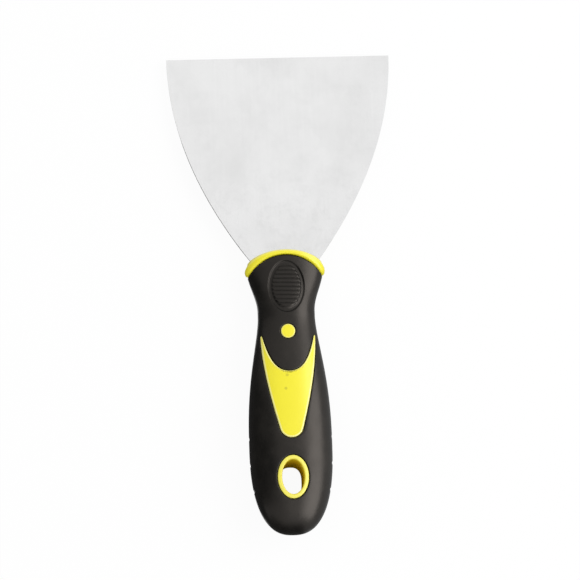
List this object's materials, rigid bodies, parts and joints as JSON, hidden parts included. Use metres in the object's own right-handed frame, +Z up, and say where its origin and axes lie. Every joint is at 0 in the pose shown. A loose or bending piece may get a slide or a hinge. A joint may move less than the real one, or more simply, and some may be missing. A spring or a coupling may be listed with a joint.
{
  "type": "putty knife",
  "caption": "Fixed-blade putty knife: flared thin steel blade in a black soft-grip handle with a yellow collar, tongue inlays, rivet caps and an oval-bushed hanging hole.",
  "frame": {"origin": "middle of the lying tool's box, on the surface that it lies on", "axes": "+Z up on the front face's side, +Y along the tool from the butt to the working edge, +X across the blade"},
  "size_m": [0.1, 0.2146, 0.0265],
  "materials": {
    "blade_steel": "polished sheet steel",
    "yellow_plastic": "moulded, semi-gloss",
    "core_plastic": "moulded, hidden inside",
    "rivet_steel": "plain steel, hidden inside",
    "soft_grip": "moulded soft grip, satin"
  },
  "bodies": {
    "root": {"blade": "blade_steel", "collar": "yellow_plastic", "core_front": "core_plastic", "core_rear": "core_plastic", "rivet_upper": "rivet_steel", "rivet_lower": "rivet_steel", "rivet_cap_front": "yellow_plastic", "rivet_cap_rear": "yellow_plastic", "inlay_front": "yellow_plastic", "inlay_rear": "yellow_plastic", "hang_bush": "yellow_plastic", "grip_sleeve": "soft_grip"}
  },
  "joints": []
}
